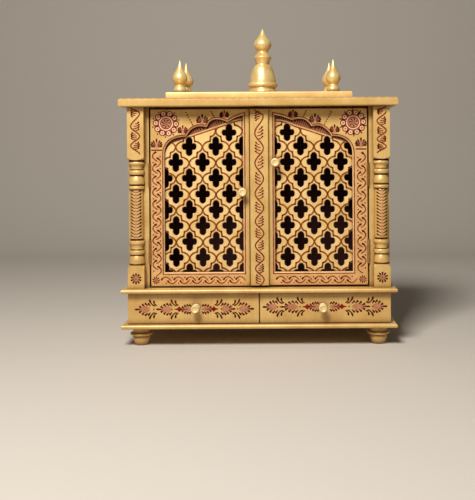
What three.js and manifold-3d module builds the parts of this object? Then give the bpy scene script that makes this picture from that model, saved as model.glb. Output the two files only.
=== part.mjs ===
// Household altar cabinet: a small wooden home temple in gold paint, on four turned feet.
// Two drawers lie in the base, and above them two doors with pierced jali panels close the shrine.
// Millimetres, +Z up, front towards -Y. The origin is on the floor under the middle of the cabinet.

import * as THREE from "three";
import * as BufferGeometryUtils from "three/addons/utils/BufferGeometryUtils.js";
import Module from "manifold-3d";

// Depths in Y, from front to back
const slabFrontY = -98.5;
const slabBackY = 104.5;
const drawerFaceY = -87.5;
const drawerBackY = -81.5;
const stileFrontY = -74.5;
const stileBackY = -62.5;
const backPanelY = 100.5;

// Heights in Z, from the floor up
const footHeight = 30;
const lowerSlabTop = 36.5;
const drawerBayTop = 88;
const midSlabTop = 94.5;
const topSlabBottom = 394;
const topSlabTop = 407.5;
const riserTop = 421;

// Half widths in X
const lowerSlabHalf = 225.5;
const midSlabHalf = 226;
const topSlabHalf = 228.5;
const riserHalf = 157.5;
const caseHalf = 216;
const sideThickness = 9;
const stileInnerHalf = 182.4;

// Feet
const footX = 197;
const footY = [-68.5, 74.5];
const footSegments = 12;

// Pilasters: half turnings on the two stiles
const pilasterX = 202.5;
const pilasterWidth = 27;
const pilasterDepth = 13;
const pilasterSegments = 16;

// Doors
const doorOuterHalf = 180;
const doorInnerX = { left: -15.6, right: -14.6 };
const doorBottom = { left: 96.5, right: 97.3 };
const doorTop = 390.5;
const boardThickness = 6;
const bevelWidth = 1.8;
const bevelDepth = 1.8;
const openingInner = 26;
const openingOuter = { left: 157, right: 155.3 };
const openingBottom = 119.5;
const openingTop = 380.5;
const astragalRight = 15.9;
const astragalThickness = 5;

// Jali holes: two families of columns, staggered by half a row
const columnPitch = 22.25;
const firstColumn = { left: 27.45, right: 24.85 };
const lastColumn = { left: 156.2, right: 154 };
const lastStep = 6;
const rowPitch = 52.8;
const evenRowZ = 143.5;
const oddRowZ = 117.2;
const topHole = { lowered: 3.4, height: 0.92 };
const jaliClip = { inner: 23.5, outer: 159.5, bottom: 117 };

// Butt hinges
const hingeX = 181.2;
const hingeY = -76.5;
const hingeBottoms = { lower: 133.5, upper: 260.5 };
const hingeLength = 40;
const knuckleRadius = 1.8;
const pinRadius = 0.8;
const boreRadius = 1.1;
const leafThickness = 1;
const leafDepth = 12;
const hingeSegments = 8;

// Knobs
const knobLength = 17;
const knobSegments = 10;
const doorKnob = { left: { x: -26.8, z: 252.4 }, right: { x: 27.1, z: 301.3 } };
const doorKnobShank = 4;
const drawerKnob = { x: 104, z: 63.5 };

// Drawers
const drawerBottomZ = 37.3;
const drawerTopZ = 87.2;
const drawerSideTop = 81;
const drawerInnerX = 5.5;
const drawerOuterX = 206;
const drawerLengthBackY = 88.5;
const drawerWall = 5;
const drawerFloor = 3;
const dividerHalf = 4.5;
const frontGapHalf = 0.75;

const wasm = await Module();
wasm.setup();

const goldPaint = new THREE.MeshStandardMaterial({ color: 0xd9b36c, roughness: 0.45, metalness: 0.45 });
const darkStain = new THREE.MeshStandardMaterial({ color: 0x3a1a10, roughness: 0.7, metalness: 0 });
const brightGold = new THREE.MeshStandardMaterial({ color: 0xe8c878, roughness: 0.35, metalness: 0.6 });
const brass = new THREE.MeshStandardMaterial({ color: 0xd8b25a, roughness: 0.35, metalness: 0.9 });

const cabinet = new THREE.Group();

// A mesh at a point of the cabinet, held by the cabinet or by one of its moved groups.
function put(parent, name, geometry, material, x = 0, y = 0, z = 0) {
  const mesh = new THREE.Mesh(geometry, material.clone());
  mesh.name = name;
  mesh.position.set(x, y, z).sub(parent.position);
  parent.add(mesh);
  return mesh;
}

// A plain board between two limits on each axis.
function board(parent, name, material, [x0, x1], [y0, y1], [z0, z1]) {
  const geometry = new THREE.BoxGeometry(Math.abs(x1 - x0), y1 - y0, z1 - z0);
  put(parent, name, geometry, material, (x0 + x1) / 2, (y0 + y1) / 2, (z0 + z1) / 2);
}

// A turning about the vertical axis from [radius, height] pairs, bottom to top, starting and ending on the axis.
function turning(profile, segments) {
  const points = profile.map(([radius, height]) => new THREE.Vector2(radius, height));
  return new THREE.LatheGeometry(points, segments).rotateX(Math.PI / 2);
}

function toSolid(geometry) {
  const bare = geometry.index ? geometry.toNonIndexed() : geometry.clone();
  bare.deleteAttribute("normal");
  bare.deleteAttribute("uv");
  const merged = BufferGeometryUtils.mergeVertices(bare, 1e-4);
  return new wasm.Manifold(
    new wasm.Mesh({
      numProp: 3,
      vertProperties: merged.attributes.position.array,
      triVerts: new Uint32Array(merged.index.array),
    }),
  );
}

function toGeometry(solid) {
  const mesh = solid.getMesh();
  const geometry = new THREE.BufferGeometry();
  geometry.setAttribute("position", new THREE.BufferAttribute(mesh.vertProperties, 3));
  geometry.setIndex(new THREE.BufferAttribute(mesh.triVerts, 1));
  geometry.computeVertexNormals();
  return geometry;
}

// A closed body through rings of the same number of points, its two end rings filled.
// Each ring is a list of [x, z] at one depth y, running anticlockwise as seen from the front.
function loft(rings) {
  const count = rings[0].points.length;
  const positions = [];
  for (const ring of rings) {
    for (const [x, z] of ring.points) positions.push(x, ring.y, z);
  }
  const index = [];
  for (let level = 0; level + 1 < rings.length; level += 1) {
    for (let i = 0; i < count; i += 1) {
      const a = level * count + i;
      const b = level * count + ((i + 1) % count);
      index.push(a, a + count, b, b, a + count, b + count);
    }
  }
  const cap = (ring) => THREE.ShapeUtils.triangulateShape(ring.points.map(([x, z]) => new THREE.Vector2(x, z)), []);
  const last = (rings.length - 1) * count;
  for (const [a, b, c] of cap(rings[0])) index.push(a, b, c);
  for (const [a, b, c] of cap(rings[rings.length - 1])) index.push(last + a, last + c, last + b);
  const geometry = new THREE.BufferGeometry();
  geometry.setAttribute("position", new THREE.Float32BufferAttribute(positions, 3));
  geometry.setIndex(index);
  return geometry;
}

// A slab whose front and side edges follow a profile of [inset, z] pairs, bottom to top; its back edge is flat.
function slab(halfWidth, frontY, backY, profile, insetBack = false) {
  const positions = [];
  for (const [inset, z] of profile) {
    const x = halfWidth - inset;
    const back = insetBack ? backY - inset : backY;
    positions.push(-x, frontY + inset, z, x, frontY + inset, z, x, back, z, -x, back, z);
  }
  const index = [0, 2, 1, 0, 3, 2];
  for (let level = 0; level + 1 < profile.length; level += 1) {
    for (let i = 0; i < 4; i += 1) {
      const a = level * 4 + i;
      const b = level * 4 + ((i + 1) % 4);
      index.push(a, b, a + 4, b, b + 4, a + 4);
    }
  }
  const top = (profile.length - 1) * 4;
  index.push(top, top + 1, top + 2, top, top + 2, top + 3);
  const geometry = new THREE.BufferGeometry();
  geometry.setAttribute("position", new THREE.Float32BufferAttribute(positions, 3));
  geometry.setIndex(index);
  geometry.computeVertexNormals();
  return geometry;
}

// The inset of a rounded edge, as a half circle in a few steps.
function roundedEdge(bottom, top, steps) {
  const radius = (top - bottom) / 2;
  const profile = [];
  for (let i = 0; i <= steps; i += 1) {
    const angle = -Math.PI / 2 + (Math.PI * i) / steps;
    profile.push([radius * 0.8 * (1 - Math.cos(angle)), bottom + radius * (1 + Math.sin(angle))]);
  }
  return profile;
}

// Feet: small turned bun feet with a ring, glued under the lower slab.
const footProfile = [
  [0, 0],
  [11.5, 0],
  [13.6, 6.5],
  [13.8, 13],
  [18.4, 16.4],
  [19, 18.2],
  [18.4, 19.8],
  [14.6, 21.4],
  [15, footHeight],
  [0, footHeight],
];
for (const [side, sign] of [["left", -1], ["right", 1]]) {
  put(cabinet, `foot_front_${side}`, turning(footProfile, footSegments), goldPaint, sign * footX, footY[0], 0);
  put(cabinet, `foot_rear_${side}`, turning(footProfile, footSegments), goldPaint, sign * footX, footY[1], 0);
}

// Lower slab and middle slab, with rounded front and side edges.
const lowerEdge = roundedEdge(footHeight, lowerSlabTop, 6);
put(cabinet, "lower_slab", slab(lowerSlabHalf, slabFrontY, slabBackY, lowerEdge), goldPaint);
const midEdge = roundedEdge(drawerBayTop, midSlabTop, 6);
put(cabinet, "mid_slab", slab(midSlabHalf, slabFrontY, slabBackY, midEdge), goldPaint);

// Drawer case: two ends, a divider and a back between the two slabs.
const caseZ = [lowerSlabTop, drawerBayTop];
const caseY = [drawerBackY, backPanelY];
board(cabinet, "drawer_case_end_left", goldPaint, [-caseHalf, sideThickness - caseHalf], caseY, caseZ);
board(cabinet, "drawer_case_end_right", goldPaint, [caseHalf - sideThickness, caseHalf], caseY, caseZ);
board(cabinet, "drawer_divider", goldPaint, [-dividerHalf, dividerHalf], caseY, caseZ);
board(cabinet, "drawer_case_back", goldPaint, [-caseHalf, caseHalf], [backPanelY, slabBackY], caseZ);

// Shrine case: side panels, back panel and the two front stiles.
const shrineZ = [midSlabTop, topSlabBottom];
const sideY = [stileBackY, backPanelY];
const stileY = [stileFrontY, stileBackY];
board(cabinet, "side_panel_left", goldPaint, [-caseHalf, sideThickness - caseHalf], sideY, shrineZ);
board(cabinet, "side_panel_right", goldPaint, [caseHalf - sideThickness, caseHalf], sideY, shrineZ);
board(cabinet, "back_panel", darkStain, [-caseHalf, caseHalf], [backPanelY, slabBackY], shrineZ);
board(cabinet, "stile_left", goldPaint, [-caseHalf, -stileInnerHalf], stileY, shrineZ);
board(cabinet, "stile_right", goldPaint, [stileInnerHalf, caseHalf], stileY, shrineZ);

// Pilasters: a turned column with square blocks at its ends, split down its length and glued to the stile.
// The turning is wider than the square blocks there, so cutting it square leaves their arched shoulders.
const pilasterProfile = [
  [0, midSlabTop],
  [20, midSlabTop],
  [20, 127],
  [17, 130.6],
  [13.4, 132.6],
  [11.6, 134],
  [13.4, 136],
  [12.6, 143],
  [10.6, 149.1],
  [12.9, 151.4],
  [13.4, 154],
  [12.9, 156.8],
  [10.9, 158.4],
  [10.4, 163],
  [12.4, 167.6],
  [13.4, 169],
  [13.4, 172.8],
  [11, 174.4],
  [11.3, 214],
  [10.4, 257.6],
  [13.2, 259.6],
  [13.2, 262.2],
  [10.6, 264.9],
  [13.4, 267.8],
  [12.4, 273],
  [10.2, 280.8],
  [12.9, 283],
  [13.4, 285.8],
  [12.9, 288.6],
  [10.6, 290.4],
  [10.4, 295],
  [13.4, 299.6],
  [13.4, 302.4],
  [11.6, 305],
  [13.4, 306.4],
  [17, 308.4],
  [20, 312],
  [20, topSlabBottom],
  [0, topSlabBottom],
];
const pilasterBlank = new THREE.BoxGeometry(pilasterWidth, pilasterDepth, topSlabBottom - midSlabTop);
pilasterBlank.translate(0, -pilasterDepth / 2, (midSlabTop + topSlabBottom) / 2);
const pilasterTurned = turning(pilasterProfile, pilasterSegments).translate(0, 0.5, 0);
const pilasterShape = toGeometry(toSolid(pilasterTurned).intersect(toSolid(pilasterBlank)));
put(cabinet, "pilaster_left", pilasterShape, goldPaint, -pilasterX, stileFrontY, 0);
put(cabinet, "pilaster_right", pilasterShape.clone(), goldPaint, pilasterX, stileFrontY, 0);

// Top slab with a small bevel on its upper edge, and the narrow riser board that carries the finials.
const topEdge = [
  [1.6, topSlabBottom],
  [0.4, topSlabBottom + 0.7],
  [0, topSlabBottom + 2],
  [0, topSlabTop - 3],
  [3.4, topSlabTop],
];
put(cabinet, "top_slab", slab(topSlabHalf, slabFrontY, slabBackY, topEdge), goldPaint);
const riserEdge = [
  [0, topSlabTop],
  [0, riserTop - 2],
  [1.6, riserTop],
];
put(cabinet, "riser", slab(riserHalf, -50.5, 56.5, riserEdge, true), goldPaint);

// Finials: one large bell with an onion bud on the riser, and four small onion buds around it.
const centreFinial = [
  [0, riserTop],
  [24.6, riserTop],
  [25, 424.6],
  [23.4, 427.6],
  [22, 431],
  [25.4, 433.4],
  [26.3, 436.4],
  [24.4, 439.6],
  [22.8, 444],
  [20.6, 453],
  [17.4, 464],
  [13.6, 470],
  [11, 472.4],
  [13.2, 478],
  [15.4, 484],
  [12.6, 489],
  [9.6, 492.4],
  [9, 495.6],
  [10.4, 498],
  [14.4, 502],
  [15.5, 507],
  [14.2, 512],
  [8.6, 519.4],
  [3.4, 527.6],
  [0, 535],
];
const smallFinial = [
  [0, riserTop],
  [10.2, riserTop],
  [11.2, 426],
  [9.8, 430.4],
  [7.5, 434],
  [9.4, 436.8],
  [12.2, 441.6],
  [12.9, 446.4],
  [11.4, 452],
  [6.6, 460],
  [2.6, 469],
  [0, 478],
];
put(cabinet, "finial_centre", turning(centreFinial, 12), brightGold, 5, 1.5, 0);
put(cabinet, "finial_front_left", turning(smallFinial, 10), brightGold, -137, -23.5, 0);
put(cabinet, "finial_front_right", turning(smallFinial, 10), brightGold, 127, -23.5, 0);
put(cabinet, "finial_rear_left", turning(smallFinial, 10), brightGold, -132.5, 26.5, 0);
put(cabinet, "finial_rear_right", turning(smallFinial, 10), brightGold, 122.5, 26.5, 0);

// Cusped arch over each door opening, as [distance from the cabinet's middle, z] through the tips and foils.
const archRuns = {
  left: [
    [[openingOuter.left, openingBottom], [openingOuter.left, 317], [155.4, 326], [151.2, 333.6], [143.4, 340], [133, 343.6], [120.8, 345]],
    [[120.8, 345], [116.4, 352], [109.6, 358.4], [99, 362], [86.2, 360.6]],
    [[86.2, 360.6], [82, 368.4], [74.6, 373.2], [64, 373.2], [51.6, 368.8]],
    [[51.6, 368.8], [45, 372.8], [36.4, 377], [openingInner, openingTop]],
  ],
  right: [
    [[openingOuter.right, openingBottom], [openingOuter.right, 317], [153.8, 326], [149.2, 334.4], [140.8, 341], [131.2, 344], [121, 344.6]],
    [[121, 344.6], [117.4, 350], [111.4, 356.4], [101, 362], [87.6, 361]],
    [[87.6, 361], [83.2, 367], [75.4, 372.4], [65, 374], [55.4, 371.6]],
    [[55.4, 371.6], [46, 375.2], [36, 378.4], [openingInner, openingTop]],
  ],
};
const closingRuns = (side) => [
  [[openingInner, openingTop], [openingInner, openingBottom]],
  [[openingInner, openingBottom], [openingOuter[side], openingBottom]],
];

// One run moved out of the opening by a distance, a point at a time along the mean normal of its two edges.
function movedRun(run, distance) {
  return run.map((point, i) => {
    const before = run[Math.max(i - 1, 0)];
    const after = run[Math.min(i + 1, run.length - 1)];
    const length = Math.hypot(after[0] - before[0], after[1] - before[1]);
    return [
      point[0] + (distance * (after[1] - before[1])) / length,
      point[1] - (distance * (after[0] - before[0])) / length,
    ];
  });
}

// The point where the lines through two pairs of points cross.
function crossing([a, b], [c, d]) {
  const r = [b[0] - a[0], b[1] - a[1]];
  const s = [d[0] - c[0], d[1] - c[1]];
  const t = ((c[0] - a[0]) * s[1] - (c[1] - a[1]) * s[0]) / (r[0] * s[1] - r[1] * s[0]);
  return [a[0] + t * r[0], a[1] + t * r[1]];
}

// The opening's outline and the same outline set back by the bevel, point for point.
function openingOutline(side, distance) {
  const runs = [...archRuns[side], ...closingRuns(side)].map((run) => movedRun(run, distance));
  const outline = [];
  runs.forEach((run, i) => {
    const before = runs[(i + runs.length - 1) % runs.length];
    outline.push(crossing([before[before.length - 2], before[before.length - 1]], [run[0], run[1]]));
    outline.push(...run.slice(1, -1));
  });
  return outline;
}

// One jali hole: straight-sided lobes with blunt points above and below, and short round lobes beside.
const holeRightHalf = [
  [0, 16.1],
  [4.3, 13.2],
  [5.5, 10.4],
  [5.4, 5.3],
  [10.1, 4.8],
  [12, 0],
  [10.1, -5.3],
  [5.4, -6],
  [5.2, -11.8],
  [0, -16.1],
];
const holeOutline = [...holeRightHalf, ...holeRightHalf.slice(1, -1).reverse().map(([x, z]) => [-x, z])];

// A polygon cut back to one side of a line on one axis.
function clipped(points, axis, limit, keepAbove) {
  const inside = (point) => (keepAbove ? point[axis] >= limit : point[axis] <= limit);
  const kept = [];
  points.forEach((point, i) => {
    const next = points[(i + 1) % points.length];
    if (inside(point)) kept.push(point);
    if (inside(point) !== inside(next)) {
      const t = (limit - point[axis]) / (next[axis] - point[axis]);
      kept.push([point[0] + t * (next[0] - point[0]), point[1] + t * (next[1] - point[1])]);
    }
  });
  return kept;
}

// The holes of one door, as [distance from the cabinet's middle, z, height as a share of a whole hole's].
function holeCentres(side) {
  const centres = [];
  for (let step = 0; step <= lastStep; step += 1) {
    const even = step % 2 === 1;
    const short = (even && step > 1) || (step === lastStep && side === "left");
    const column = step === lastStep ? lastColumn[side] : firstColumn[side] + step * columnPitch;
    for (let row = 0; row < (short ? 4 : 5); row += 1) {
      const top = step === 1 && row === 4;
      const z = (even ? evenRowZ : oddRowZ) + row * rowPitch - (top ? topHole.lowered : 0);
      centres.push([column, z, top ? topHole.height : 1]);
    }
  }
  return centres;
}

// A point list of the right door's measures, placed on either door and kept anticlockwise from the front.
function placed(points, sign) {
  const outline = points.map(([x, z]) => [sign * x, z]);
  return sign < 0 ? outline.reverse() : outline;
}

// A plain blank of one door, with its front at Y = 0.
function doorBlank(side, sign) {
  const width = Math.abs(sign * doorOuterHalf - doorInnerX[side]);
  const blank = new THREE.BoxGeometry(width, boardThickness, doorTop - doorBottom[side]);
  const middleX = (sign * doorOuterHalf + doorInnerX[side]) / 2;
  return toSolid(blank.translate(middleX, boardThickness / 2, (doorTop + doorBottom[side]) / 2));
}

// The pierced board of one door. The holes stop at lines that the frame in front of them hides.
function jaliBoard(side, sign) {
  let solid = doorBlank(side, sign);
  for (const [column, z, height] of holeCentres(side)) {
    let outline = holeOutline.map(([x, dz]) => [column + x, z + dz * height]);
    outline = clipped(outline, 0, jaliClip.inner, true);
    outline = clipped(outline, 0, jaliClip.outer, false);
    outline = clipped(outline, 1, jaliClip.bottom, true);
    const points = placed(outline.reverse(), sign);
    const cutter = loft([
      { y: -1, points },
      { y: boardThickness + 1, points },
    ]);
    solid = solid.subtract(toSolid(cutter));
  }
  return toGeometry(solid);
}

// The frame board in front of the jali, with its arched opening bevelled all round and a notch for the knob's shank.
function doorFrame(side, sign) {
  const edge = placed(openingOutline(side, 0), sign);
  const wide = placed(openingOutline(side, bevelWidth), sign);
  const cutter = loft([
    { y: -1, points: wide },
    { y: 0, points: wide },
    { y: bevelDepth, points: edge },
    { y: boardThickness + 1, points: edge },
  ]);
  const notch = new THREE.CylinderGeometry(doorKnobShank + 0.3, doorKnobShank + 0.3, boardThickness + 2, knobSegments);
  notch.translate(doorKnob[side].x, boardThickness / 2, doorKnob[side].z);
  return toGeometry(doorBlank(side, sign).subtract(toSolid(cutter)).subtract(toSolid(notch)));
}

// A turned knob along -Y from its seat, with a rim and a dimple in its head; a shank behind the seat if it has one.
function knob(shankLength, shankRadius) {
  const profile = [
    [6.5, 0],
    [6.5, 1.6],
    [4.4, 4],
    [4, 7.5],
    [5.6, 11],
    [7, 13.4],
    [6.6, 16],
    [5, knobLength],
    [3.2, 15.8],
    [0, 15.2],
  ];
  const shank = shankLength > 0 ? [[0, -shankLength], [shankRadius, -shankLength], [shankRadius, 0]] : [[0, 0]];
  return turning([...shank, ...profile], knobSegments).rotateX(Math.PI / 2);
}

// Hinge parts are cut from round bars and plates about the pin's vertical axis.
function bar(radius, bottom, top) {
  const geometry = new THREE.CylinderGeometry(radius, radius, top - bottom, hingeSegments);
  return toSolid(geometry.rotateX(Math.PI / 2).translate(0, 0, (bottom + top) / 2));
}

function plate(x0, x1, y0, y1, z0, z1) {
  const geometry = new THREE.BoxGeometry(x1 - x0, y1 - y0, z1 - z0);
  return toSolid(geometry.translate((x0 + x1) / 2, (y0 + y1) / 2, (z0 + z1) / 2));
}

// The leaf on the stile, with the two end knuckles and the pin.
const knuckle = hingeLength / 3;
function fixedLeaf(sign) {
  const near = 0.2;
  const far = near + leafThickness;
  const x = sign > 0 ? [near, far] : [-far, -near];
  return toGeometry(
    plate(x[0], x[1], 0, leafDepth, 0, hingeLength)
      .subtract(bar(knuckleRadius + 0.4, knuckle, 2 * knuckle))
      .add(bar(knuckleRadius, 0, knuckle))
      .add(bar(knuckleRadius, 2 * knuckle, hingeLength))
      .add(bar(pinRadius, 1, hingeLength - 1)),
  );
}

// The leaf on the door, with the bored middle knuckle.
function doorLeaf(sign) {
  const near = 0.2;
  const far = near + leafThickness;
  const x = sign > 0 ? [-far, -near] : [near, far];
  return toGeometry(
    plate(x[0], x[1], 0, leafDepth, 0, hingeLength)
      .subtract(bar(knuckleRadius + 0.4, -1, knuckle + 0.3))
      .subtract(bar(knuckleRadius + 0.4, 2 * knuckle - 0.3, hingeLength + 1))
      .add(bar(knuckleRadius, knuckle + 0.3, 2 * knuckle - 0.3))
      .subtract(bar(boreRadius, -1, hingeLength + 1)),
  );
}

// Doors: a jali board and a frame board glued together, a knob and two butt hinges. The right door has the astragal.
for (const [side, sign] of [["left", -1], ["right", 1]]) {
  const door = new THREE.Group();
  door.position.set(sign * hingeX, hingeY, 0);
  cabinet.add(door);
  put(door, `door_jali_${side}`, jaliBoard(side, sign), goldPaint, 0, stileFrontY + boardThickness, 0);
  put(door, `door_frame_${side}`, doorFrame(side, sign), goldPaint, 0, stileFrontY, 0);
  const { x, z } = doorKnob[side];
  put(door, `door_knob_${side}`, knob(boardThickness, doorKnobShank), brightGold, x, stileFrontY, z);
  if (side === "right") {
    const astragalY = [stileFrontY - astragalThickness, stileFrontY];
    board(door, "door_astragal", goldPaint, [doorInnerX.right, astragalRight], astragalY, [doorBottom.right, doorTop]);
  }
  for (const [level, bottom] of Object.entries(hingeBottoms)) {
    put(door, `hinge_${level}_${side}_door_leaf`, doorLeaf(sign), brass, sign * hingeX, hingeY, bottom);
    put(cabinet, `hinge_${level}_${side}_fixed_leaf`, fixedLeaf(sign), brass, sign * hingeX, hingeY, bottom);
  }
}

// Drawers: an open box with a wide front that covers the case edges, and one knob each.
for (const [side, sign] of [["left", -1], ["right", 1]]) {
  const drawer = new THREE.Group();
  cabinet.add(drawer);
  const span = (near, far) => (sign > 0 ? [near, far] : [-far, -near]);
  const wallZ = [drawerBottomZ + drawerFloor, drawerSideTop];
  const innerX = drawerInnerX + drawerWall;
  const outerX = drawerOuterX - drawerWall;
  const frontY = [drawerFaceY, drawerBackY];
  const boxY = [drawerBackY, drawerLengthBackY];
  const backY = [drawerLengthBackY - drawerWall, drawerLengthBackY];
  const floorZ = [drawerBottomZ, drawerBottomZ + drawerFloor];
  board(drawer, `drawer_front_${side}`, goldPaint, span(frontGapHalf, caseHalf), frontY, [drawerBottomZ, drawerTopZ]);
  board(drawer, `drawer_bottom_${side}`, goldPaint, span(drawerInnerX, drawerOuterX), boxY, floorZ);
  board(drawer, `drawer_side_inner_${side}`, goldPaint, span(drawerInnerX, innerX), boxY, wallZ);
  board(drawer, `drawer_side_outer_${side}`, goldPaint, span(outerX, drawerOuterX), boxY, wallZ);
  board(drawer, `drawer_back_${side}`, goldPaint, span(innerX, outerX), backY, wallZ);
  put(drawer, `drawer_knob_${side}`, knob(0, 0), brightGold, sign * drawerKnob.x, drawerFaceY, drawerKnob.z);
}

export default cabinet;
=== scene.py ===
# A household altar cabinet in gold paint with maroon brush ornament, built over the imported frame.
# Metres, +Z up, front towards -Y; measures below are in millimetres and become metres as each mesh is made.
import math

import bpy
from mathutils import Matrix, Vector
from mathutils.geometry import delaunay_2d_cdt


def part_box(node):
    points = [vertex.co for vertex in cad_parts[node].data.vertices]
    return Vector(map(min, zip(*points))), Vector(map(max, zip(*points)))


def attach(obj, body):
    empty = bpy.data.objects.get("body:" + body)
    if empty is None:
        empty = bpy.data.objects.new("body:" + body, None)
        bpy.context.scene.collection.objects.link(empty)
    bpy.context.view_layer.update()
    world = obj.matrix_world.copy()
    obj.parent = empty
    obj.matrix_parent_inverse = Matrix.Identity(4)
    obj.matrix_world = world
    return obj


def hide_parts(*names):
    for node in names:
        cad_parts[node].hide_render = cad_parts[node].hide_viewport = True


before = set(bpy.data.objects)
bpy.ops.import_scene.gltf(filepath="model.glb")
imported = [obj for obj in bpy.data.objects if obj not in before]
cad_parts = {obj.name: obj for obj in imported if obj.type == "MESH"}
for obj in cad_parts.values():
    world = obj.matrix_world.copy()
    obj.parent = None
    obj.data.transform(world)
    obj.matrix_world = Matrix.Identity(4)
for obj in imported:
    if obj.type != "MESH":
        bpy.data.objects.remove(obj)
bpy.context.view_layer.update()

# Feet
# Four small turned bun feet of wood with a ring, glued under the lower slab and painted with it.
# The gold paint is metal flake in varnish, brushed on by hand, with a brown painted shade where surfaces
# meet.

scene = bpy.context.scene
# The brown of the painted shade that darkens the gold where surfaces meet.
painted_shade_brown = "#5A2A06"


def srgb(code):
    """A hex colour as the linear values that a shader takes."""
    parts = [int(code[i : i + 2], 16) / 255 for i in (1, 3, 5)]
    return tuple(c / 12.92 if c <= 0.04045 else ((c + 0.055) / 1.055) ** 2.4 for c in parts) + (1.0,)


def shade(tree, kind, inputs=None, **settings):
    """Adds a shader node with its settings, and sets or links its inputs."""
    made = tree.nodes.new("ShaderNode" + kind)
    for key, value in settings.items():
        setattr(made, key, value)
    for key, value in (inputs or {}).items():
        if isinstance(value, bpy.types.NodeSocket):
            tree.links.new(value, made.inputs[key])
        else:
            made.inputs[key].default_value = value
    return made


def new_finish(name, **surface):
    """A material whose shader has these constant values; returns it with its tree and shader."""
    finish = bpy.data.materials.new(name)
    finish.use_nodes = True
    shader = finish.node_tree.nodes["Principled BSDF"]
    for key, value in surface.items():
        shader.inputs[key.replace("_", " ")].default_value = value
    return finish, finish.node_tree, shader


def noise(tree, place, size_mm, detail):
    inputs = {"Vector": place, "Scale": 1000 / size_mm, "Detail": detail}
    return shade(tree, "TexNoise", inputs).outputs["Fac"]


def two_tones(tree, place, patch_mm, detail, first, second, span):
    """Drifting patches of two colours, which blend where the noise lies in the span."""
    tones = shade(tree, "ValToRGB", {"Fac": noise(tree, place, patch_mm, detail)})
    for element, position, colour in zip(tones.color_ramp.elements, span, (first, second)):
        element.position = position
        element.color = srgb(colour)
    return tones.outputs["Color"]


def spread(tree, value, low, high, top):
    """A value that rises from 0 to the top as the given one goes from low to high."""
    inputs = {"Value": value, "From Min": low, "From Max": high, "To Max": top}
    return shade(tree, "MapRange", inputs).outputs["Result"]


def mixed(tree, share, first, second):
    return shade(tree, "MixRGB", {"Fac": share, "Color1": first, "Color2": second}).outputs["Color"]


def brushed_paint(
    name, light, dark, thin, patch_mm, bump, brush_mm=2.4, nook_mm=12, full_at=0.38, **surface
):
    """Paint laid on by brush: two tones in soft patches, a thinner tone in streaks, and fine brush lines.

    nook_mm is how far from a meeting surface the brown painted shade begins.
    full_at is how open to the air a place may be and still take all of it.
    """
    finish, tree, shader = new_finish(name, **surface)
    place = shade(tree, "TexCoord").outputs["Object"]
    tones = two_tones(tree, place, patch_mm, 5.0, dark, light, (0.34, 0.62))
    drawn = shade(tree, "Mapping", {"Vector": place, "Scale": (1.0, 1.0, 0.09)})
    streaks = noise(tree, drawn.outputs["Vector"], brush_mm, 4.0)
    coat = mixed(tree, spread(tree, streaks, 0.5, 0.75, 0.45), tones, srgb(thin))
    # Painted shade: the coat turns brown where two surfaces meet and close each other in.
    nook = shade(tree, "AmbientOcclusion", {"Distance": nook_mm / 1000}, samples=6)
    shaded_coat = mixed(tree, spread(tree, nook.outputs["AO"], 0.82, full_at, 0.85), coat, srgb(painted_shade_brown))
    tree.links.new(shaded_coat, shader.inputs["Base Color"])
    lines = shade(tree, "Bump", {"Height": streaks, "Strength": bump, "Distance": 0.0005})
    tree.links.new(lines.outputs["Normal"], shader.inputs["Normal"])
    return finish


# The flake gives a broad soft sheen, with patches where the coat is thinner and faint upright brush lines.
# Real brush lines are finer, but are drawn 2.4 mm wide so that they show.
gold_coat = ("#DDB56C", "#CDA056", "#B88E4A", 38, 0.2)
gold_sheen = {"Metallic": 0.25, "Roughness": 0.45, "Coat_Weight": 0.35, "Coat_Roughness": 0.3}
gold_paint = brushed_paint("satin_gold_paint_on_wood", *gold_coat, **gold_sheen)


def piece(
    name, node, points, faces, finishes, body="cabinet", slot="gold_painted_wood", paints=None, **shading
):
    """A mesh piece from points in millimetres, which rides on a body and stands for a node of the frame.

    Its shading is smooth but for edges sharper than 35 degrees, unless smooth or sharp says otherwise.
    """
    mesh = bpy.data.meshes.new(name)
    mesh.from_pydata([Vector(p) * 0.001 for p in points], [], faces)
    for finish in finishes:
        mesh.materials.append(finish)
    if paints:
        mesh.polygons.foreach_set("material_index", paints)
    smooth = shading.get("smooth", True)
    mesh.polygons.foreach_set("use_smooth", [smooth] * len(mesh.polygons))
    mesh.update()
    if smooth:
        mesh.set_sharp_from_angle(angle=math.radians(shading.get("sharp", 35)))
    made = bpy.data.objects.new(name, mesh)
    scene.collection.objects.link(made)
    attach(made, body)
    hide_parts(node)


def blended(p, q, r, s, t):
    """The value at t on the smooth curve from q to r, with p before it and s after it."""
    slope, square, cube = r - p, 2 * p - 5 * q + 4 * r - s, 3 * q - p - 3 * r + s
    return 0.5 * (2 * q + slope * t + square * t**2 + cube * t**3)


def curve_through(points, steps):
    """The points of a smooth curve through the given ones."""
    ends = [points[0], *points, points[-1]]
    out = []
    for a, b, c, d in zip(ends, ends[1:], ends[2:], ends[3:]):
        for step in range(steps):
            out.append(tuple(blended(*values, step / steps) for values in zip(a, b, c, d)))
    return out + [tuple(points[-1])]


def profile_of(start, *runs, steps=5):
    """A turning's profile of [radius, height] from its start. Each run is smooth and ends at an edge."""
    profile = [start]
    for run in runs:
        profile += curve_through([profile[-1], *run], steps)[1:] if len(run) > 1 else run
    return profile


def ring_walls(start, count, rings, outward=True):
    """The quads between rings of points of the same count, from each ring to the next."""
    quads = []
    for level in range(rings - 1):
        for i in range(count):
            a, b = start + level * count + i, start + level * count + (i + 1) % count
            quads.append((a, b, b + count, a + count) if outward else (b, a, a + count, b + count))
    return quads


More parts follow.
